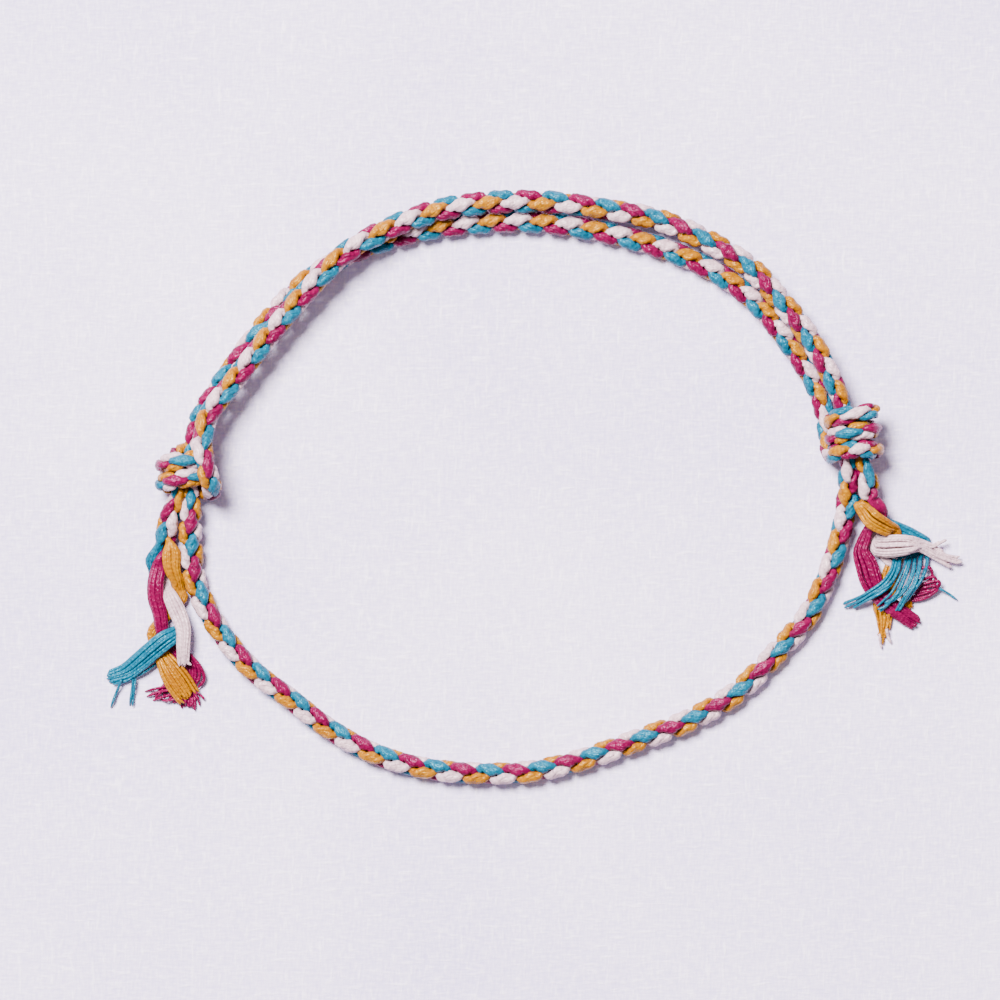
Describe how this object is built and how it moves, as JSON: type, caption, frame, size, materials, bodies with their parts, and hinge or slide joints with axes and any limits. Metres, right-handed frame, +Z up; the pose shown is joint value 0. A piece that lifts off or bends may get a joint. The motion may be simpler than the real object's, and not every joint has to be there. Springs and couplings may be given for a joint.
{
  "type": "braided bracelet",
  "caption": "Adjustable braided thread bracelet: a round braid lying flat as a loop, its ends tied in sliding knots with frayed tassels.",
  "frame": {"origin": "middle of the bounding box in plan, at the height of the table the bracelet lies on", "axes": "+X from the left knot to the right knot, +Y across the loop to the doubled upper run, +Z up off the table"},
  "size_m": [0.0848, 0.0593, 0.0063],
  "materials": {
    "magenta_thread": "satin thread",
    "cyan_thread": "satin thread",
    "yellow_thread": "satin thread",
    "white_thread": "satin thread"
  },
  "bodies": {
    "root": {"magenta_strand": "magenta_thread", "cyan_strand": "cyan_thread", "yellow_strand": "yellow_thread", "white_strand": "white_thread"}
  },
  "joints": []
}
